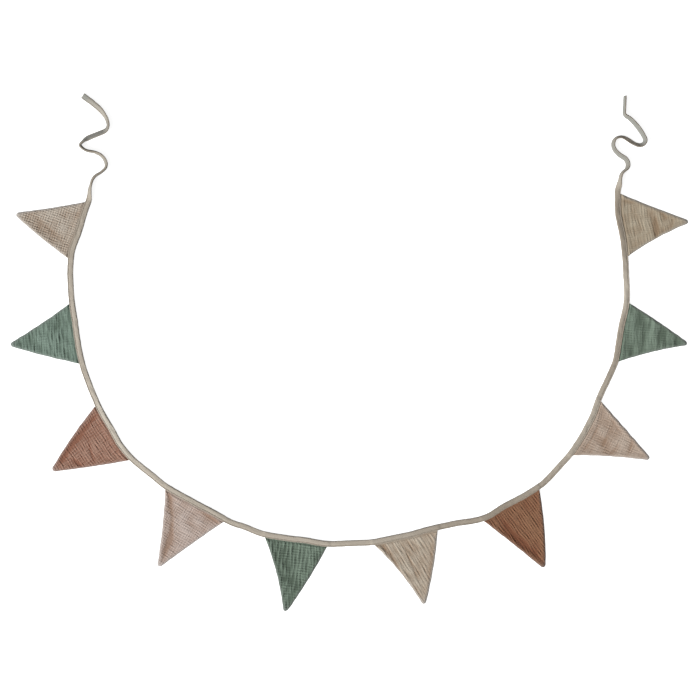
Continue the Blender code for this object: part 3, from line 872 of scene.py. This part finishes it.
def add_flag(number, flag, span):
    """One pennant, from the edge held in the tape to its blunt tip."""
    muslin = MUSLINS[flag.cloth]
    start, end = span
    first, last = route.outwards(np.array(span), TAPE_WIDTH / 2)
    middle = (first + last) / 2
    width = np.linalg.norm(last - first)
    along = (last - first) / width
    out = np.array([along[1], -along[0]])

    tip_start = flag.reach - TIP_ROUNDING
    body = np.linspace(0, tip_start, round(tip_start / FLAG_STEP))
    tip = tip_start + TIP_ROUNDING * np.array(TIP_STEPS)
    rows = np.concatenate([[-HELD_DEPTH, -HELD_DEPTH / 2], body, tip])

    def sides(v):
        """Where the flag's two sides are along the tape, at a distance from the tape."""
        share = np.clip(v, 0, None) / flag.reach
        bow = 4 * share * (1 - share)
        waver = SIDE_WAVER * ease(v / SIDE_WAVER_GAP)
        left = blend(-width / 2, flag.lean - TIP_WIDTH / 2, share) - flag.bow_first * bow
        right = blend(width / 2, flag.lean + TIP_WIDTH / 2, share) + flag.bow_last * bow
        left = left + waver * wander(v, 0, SIDE_WAVER_GAP, 20 + number)
        right = right + waver * wander(v, 0, SIDE_WAVER_GAP, 40 + number)
        past = np.clip((v - tip_start) / TIP_ROUNDING, 0, 1)
        pinch = 0.5 * (1 - np.sqrt(1 - TIP_BLUNTNESS * past**2)) * (right - left)
        return left + pinch, right - pinch

    u_places, v_places, firsts, counts = [], [], [], []
    for v, left, right in zip(rows, *sides(rows)):
        scale = min(1.0, (right - left) / TIP_WIDTH)
        edge = np.array(EDGE_STEPS) * scale
        room = right - left - 2 * edge[-1]
        inner = np.linspace(0, room, max(3, round(room / FLAG_STEP)))[1:-1] + edge[-1]
        u_row = left + np.concatenate([edge, inner, (right - left) - edge[::-1]])
        firsts.append(sum(counts))
        counts.append(len(u_row))
        u_places.append(u_row)
        v_places.append(np.full(len(u_row), v))
    u, v = np.concatenate(u_places), np.concatenate(v_places)
    left, right = sides(v)

    share = np.clip(v, 0, None) / flag.reach
    top_share = np.clip((u - left) / (right - left), 0, 1)
    on_tape = route.outwards(blend(start, end, top_share), TAPE_WIDTH / 2 + np.minimum(v, 0))
    sag = (on_tape - middle) @ out
    freely = middle + along * u[:, None] + out * (blend(sag, 0, share) + v)[:, None]
    plan = np.where(v[:, None] <= 0, on_tape, freely)

    from_sides = np.minimum(u - left, right - u)
    from_tip = flag.reach - v
    loose = ease((v - JUST_OUT) / DROP_LENGTH)
    shoulder = blend(HELD_ROUNDING, UPPER_ROUNDING, loose)
    upper_round = 1.0
    for distance in (u - left, right - u, from_tip):
        soft = np.sin(pi / 2 * np.clip(distance / shoulder, 0, 1))
        upper_round = upper_round * blend(soft, round_off(distance, ROLLED_EDGE), ROLLED_SHARE)
    lower_radius = blend(HELD_ROUNDING, LOWER_ROUNDING, loose)
    lower_round = round_off(u - left, lower_radius) * round_off(right - u, lower_radius)
    lower_round = lower_round * round_off(from_tip, lower_radius)
    from_edge = np.minimum(from_sides, from_tip)
    inside = ease(from_edge / CRINKLE_START) * ease((v - JUST_OUT) / CRINKLE_START)
    underside = (TAPE_PLY + CLEARANCE) * (1 - ease((v - JUST_OUT) / (DROP_LENGTH - JUST_OUT)))
    seam_line = underside + blend(SEAM_THICKNESS / 2, EDGE_HEIGHT, loose)
    folds = fold_rise(FOLDS, number, u, v) + UNEVEN * wander(u, v, UNEVEN_GAP, 7 * number)
    folds = folds * ease(from_edge / SEAM_ALLOWANCE_WIDTH)
    creases = fold_rise(CREASES, number, u, v) * inside
    puckers = crinkle(muslin, u, v, 100 * number) * inside
    allowance = SEAM_ALLOWANCE_RISE * np.exp(-((from_edge / SEAM_ALLOWANCE_WIDTH) ** 2))
    full = MIDDLE_THICKNESS + allowance + folds + creases + puckers
    full = THINNEST + np.logaddexp(0, THINNEST_SHARPNESS * (full - THINNEST)) / THINNEST_SHARPNESS
    full = blend(SEAM_THICKNESS, full, ease((v - JUST_OUT) / FILL_OUT))
    upper = blend(seam_line, underside + full, upper_round)
    back_puckers = crinkle(muslin, u, v, 100 * number + 50) * inside
    back_lift = np.clip(BACK_CLEAR - BACK_CRINKLE * back_puckers, 0, BACK_LIFT) * inside
    back = blend(seam_line, underside + back_lift, lower_round)

    rim = (u - left < 1e-9) | (right - u < 1e-9) | (v == rows[0]) | (v == rows[-1])
    count = len(u)
    back_number = np.where(rim, np.arange(count), count + np.cumsum(~rim) - 1)
    faces = []
    for row in range(len(rows) - 1):
        faces += lace(firsts[row], counts[row], firsts[row + 1], counts[row + 1])
    faces = np.array(faces)
    top_points = np.concatenate([plan, upper[:, None]], 1)
    back_points = np.concatenate([plan, back[:, None]], 1)[~rim]
    both = np.concatenate([faces, back_number[faces[:, ::-1]]])
    places = np.stack([u, v], 1)
    cloth_places = np.concatenate([places[faces], places[faces[:, ::-1]]]).reshape(-1, 2)
    # Painted shade: darker where puckers, folds and creases sink, and lighter where they rise
    shade_level = PUCKER_TONE - PUCKER_SHADE * puckers - FOLD_SHADE * folds - CREASE_SHADE * creases
    painted_shade = np.clip(shade_level, 0, 1)
    back_painted_shade = np.clip(PUCKER_TONE - PUCKER_SHADE * back_puckers, 0, 1)[~rim]

    shade = tuple(np.multiply(muslin.colour, muslin.deepens).tolist())
    # Painted sheen and fuzz: paler and greyer along the rims and at the tip
    grey = sum(muslin.colour) / 3
    grey_shade_and_sheen = tuple(blend(part, grey * PALE, SHEEN_GREY) for part in muslin.colour)
    grey_shade_and_sheen_share = RIM_SHEEN_AND_FUZZ * np.exp(-((from_edge / RIM_SHEEN_WIDTH) ** 2)) * loose
    grey_shade_and_sheen_share = grey_shade_and_sheen_share + (1 - grey_shade_and_sheen_share) * TIP_SHEEN_AND_FUZZ * np.exp(-((from_tip / TIP_SHEEN_LENGTH) ** 2))
    finish = cotton(
        f"{flag.cloth}_muslin", muslin.colour, shade, grey_shade_and_sheen, "cloth", MUSLIN_THREAD, muslin.aim, MUSLIN_WEAVE
    )
    piece = make_piece(
        f"muslin_flag_{number:02d}",
        np.concatenate([top_points, back_points]),
        both.tolist(),
        finish,
        {"cloth": cloth_places},
        {
            "painted_shade": np.concatenate([painted_shade, back_painted_shade]),
            "grey_shade_and_sheen": np.concatenate([grey_shade_and_sheen_share, grey_shade_and_sheen_share[~rim]]),
        },
    )
    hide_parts(f"flag_{number:02d}")


for flag_number, (one_flag, flag_span) in enumerate(zip(FLAGS, route.flags), start=1):
    add_flag(flag_number, one_flag, flag_span)

# Floor and light: a plain white floor, with soft light from above and a broad key light from the near
# left, which brings out the crinkle and the fullness of the edges.
FLOOR_SIZE = 12000
FLOOR_DROP = 0.4  # clear of the stitches underneath
FLOOR_COLOUR = (0.9, 0.9, 0.9)
FLOOR_GLOW = 0.75
LIGHT_OVERHEAD = 0.42
LIGHT_AROUND = 0.08
KEY_LIGHT = 3.75
KEY_SPREAD = 24
KEY_HEIGHT = 33
KEY_SIDE = 212

floor_mesh = bpy.data.meshes.new("floor")
half_floor = FLOOR_SIZE / 2 * MM
floor_plan = ((-1, -1), (1, -1), (1, 1), (-1, 1))
floor_corners = [(x * half_floor, y * half_floor, -FLOOR_DROP * MM) for x, y in floor_plan]
floor_mesh.from_pydata(floor_corners, [], [(0, 1, 2, 3)])
floor_finish = bpy.data.materials.new("white_floor")
floor_finish.use_nodes = True
floor_shader = floor_finish.node_tree.nodes["Principled BSDF"]
floor_shader.inputs["Base Color"].default_value = (*FLOOR_COLOUR, 1.0)
floor_shader.inputs["Roughness"].default_value = 1.0
floor_shader.inputs["Specular IOR Level"].default_value = 0.0
floor_shader.inputs["Emission Color"].default_value = (1.0, 1.0, 1.0, 1.0)
floor_shader.inputs["Emission Strength"].default_value = FLOOR_GLOW
floor_mesh.materials.append(floor_finish)
floor = bpy.data.objects.new("floor", floor_mesh)
floor.visible_diffuse = False
bpy.context.scene.collection.objects.link(floor)

room = bpy.data.worlds.new("room")
room.use_nodes = True
room_nodes = room.node_tree.nodes
direction = room_nodes.new("ShaderNodeTexCoord")
upwards = room_nodes.new("ShaderNodeSeparateXYZ")
light_above = room_nodes.new("ShaderNodeMapRange")
light_above.inputs["To Min"].default_value = LIGHT_AROUND
light_above.inputs["To Max"].default_value = LIGHT_OVERHEAD
room.node_tree.links.new(direction.outputs["Generated"], upwards.inputs[0])
room.node_tree.links.new(upwards.outputs["Z"], light_above.inputs["Value"])
room.node_tree.links.new(light_above.outputs["Result"], room_nodes["Background"].inputs["Strength"])
room_nodes["Background"].inputs["Color"].default_value = (1.0, 1.0, 1.0, 1.0)
bpy.context.scene.world = room

key_data = bpy.data.lights.new("key_light", "SUN")
key_data.energy = KEY_LIGHT
key_data.angle = radians(KEY_SPREAD)
key = bpy.data.objects.new("key_light", key_data)
key.rotation_euler = (0, radians(90 - KEY_HEIGHT), radians(KEY_SIDE))
bpy.context.scene.collection.objects.link(key)
bpy.context.scene.view_settings.view_transform = "Standard"
